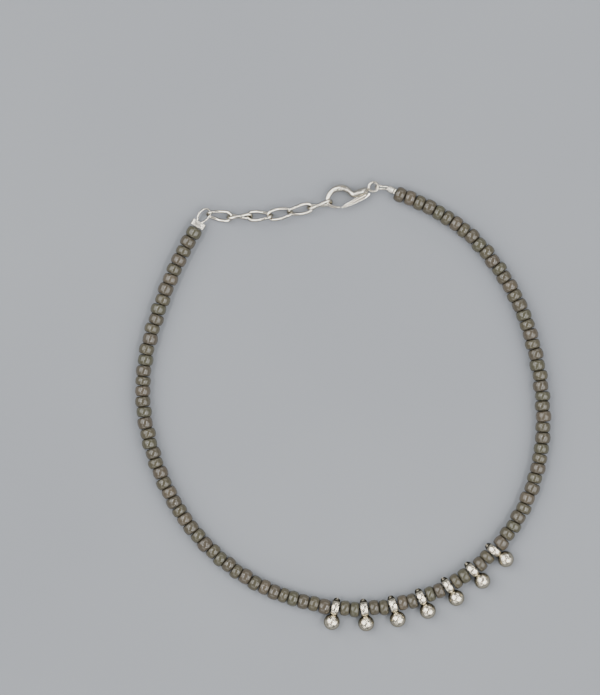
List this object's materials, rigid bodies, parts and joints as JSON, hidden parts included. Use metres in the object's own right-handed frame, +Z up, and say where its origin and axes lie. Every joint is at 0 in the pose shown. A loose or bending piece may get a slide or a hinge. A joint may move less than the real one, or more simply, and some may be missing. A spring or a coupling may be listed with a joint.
{
  "type": "beaded anklet",
  "caption": "Closed beaded anklet lying flat: a grey glass bead string with small silver ball charms, a short curb chain and a lobster claw clasp.",
  "frame": {"origin": "middle of the anklet's box in plan, on the surface that it lies on", "axes": "+Z up from the surface, +Y towards the clasp and chain, +X towards the clasp's side of the loop"},
  "size_m": [0.0816, 0.0882, 0.0032],
  "materials": {
    "bead_glass": "opaque warm grey glass with a gloss",
    "silver": "bright silver plate",
    "charm_silver": "cast silver with darkened recesses"
  },
  "bodies": {
    "anklet": {"bead_string": "bead_glass", "charm_1": "charm_silver", "charm_2": "charm_silver", "charm_3": "charm_silver", "charm_4": "charm_silver", "charm_5": "charm_silver", "charm_6": "charm_silver", "charm_7": "charm_silver", "chain_crimp": "silver", "clasp_crimp": "silver", "chain_wire_loop": "silver", "clasp_wire_loop": "silver", "wire_end": "silver", "chain_link_1": "silver", "chain_link_2": "silver", "chain_link_3": "silver", "chain_link_4": "silver", "chain_link_5": "silver", "chain_link_6": "silver", "clasp_body": "silver", "clasp_pin": "silver"},
    "lever": {"clasp_lever": "silver"}
  },
  "joints": [
    {"name": "lever_hinge", "type": "hinge", "parent": "anklet", "child": "lever", "pos_m": [0.00423, 0.04203, 0.0013], "axis": [0, 0, -1], "range_deg": [0, 18], "stiffness_Nm_per_rad": 0.02, "springref_deg": -2.86}
  ]
}
